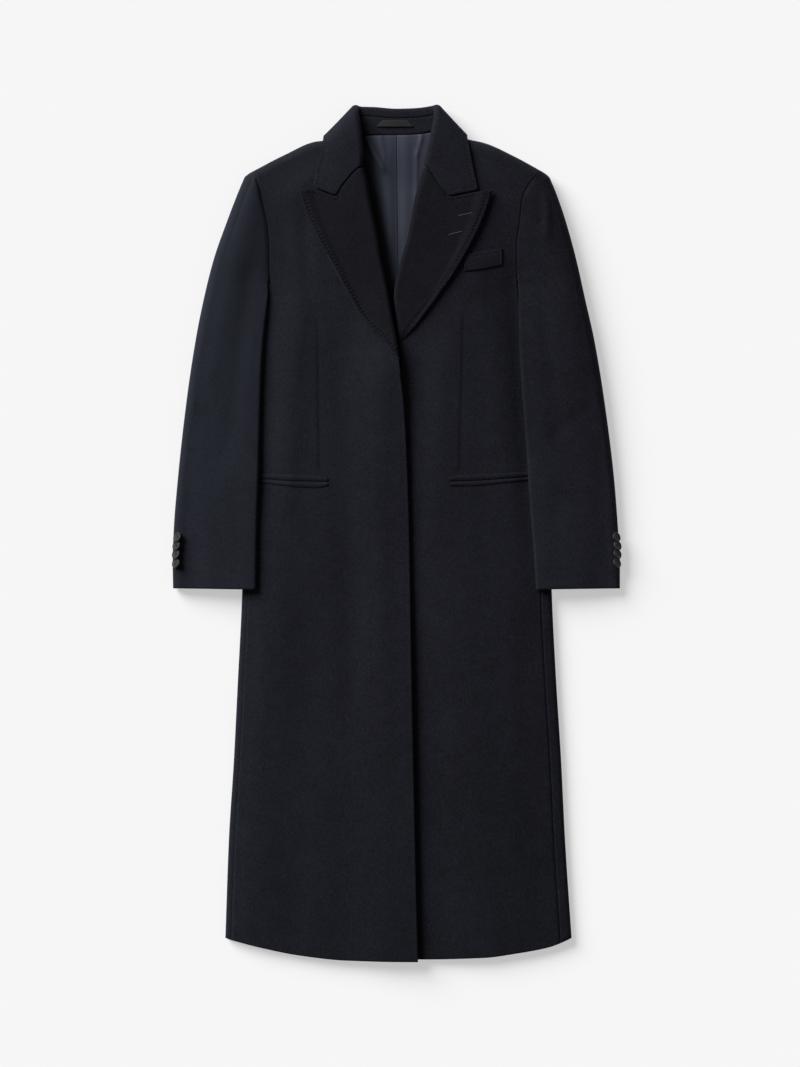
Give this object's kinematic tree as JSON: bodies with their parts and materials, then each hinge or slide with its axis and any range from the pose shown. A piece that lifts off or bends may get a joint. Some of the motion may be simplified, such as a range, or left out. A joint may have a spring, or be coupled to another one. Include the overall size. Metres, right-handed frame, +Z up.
{
  "type": "wool overcoat",
  "caption": "Long single-breasted dark wool overcoat with peaked lapels, laid flat and face up, its sleeves along its sides.",
  "frame": {"origin": "on the floor, at the centre of the coat's outline", "axes": "+Z up from the floor, +Y from hem to collar, +X towards the wearer's left side"},
  "size_m": [0.6551, 1.2496, 0.0352],
  "materials": {
    "wool": "brushed wool coating with a short soft nap",
    "satin": "satin lining with a slight sheen",
    "ribbon": "ribbed ribbon, matte",
    "horn": "dark horn, semi-polished"
  },
  "bodies": {
    "root": {"front_right": "wool", "front_left": "wool", "back": "wool", "sleeve_right_top": "wool", "sleeve_right_under": "wool", "sleeve_left_top": "wool", "sleeve_left_under": "wool", "lapel_right": "wool", "lapel_left": "wool", "collar": "wool", "collar_stand": "wool", "lining_right": "satin", "lining_left": "satin", "hanger_loop": "ribbon", "breast_welt": "wool", "pocket_right_upper_jet": "wool", "pocket_right_lower_jet": "wool", "pocket_left_upper_jet": "wool", "pocket_left_lower_jet": "wool", "cuff_button_right_1": "horn", "cuff_button_right_2": "horn", "cuff_button_right_3": "horn", "cuff_button_right_4": "horn", "cuff_button_left_1": "horn", "cuff_button_left_2": "horn", "cuff_button_left_3": "horn", "cuff_button_left_4": "horn"}
  },
  "joints": []
}
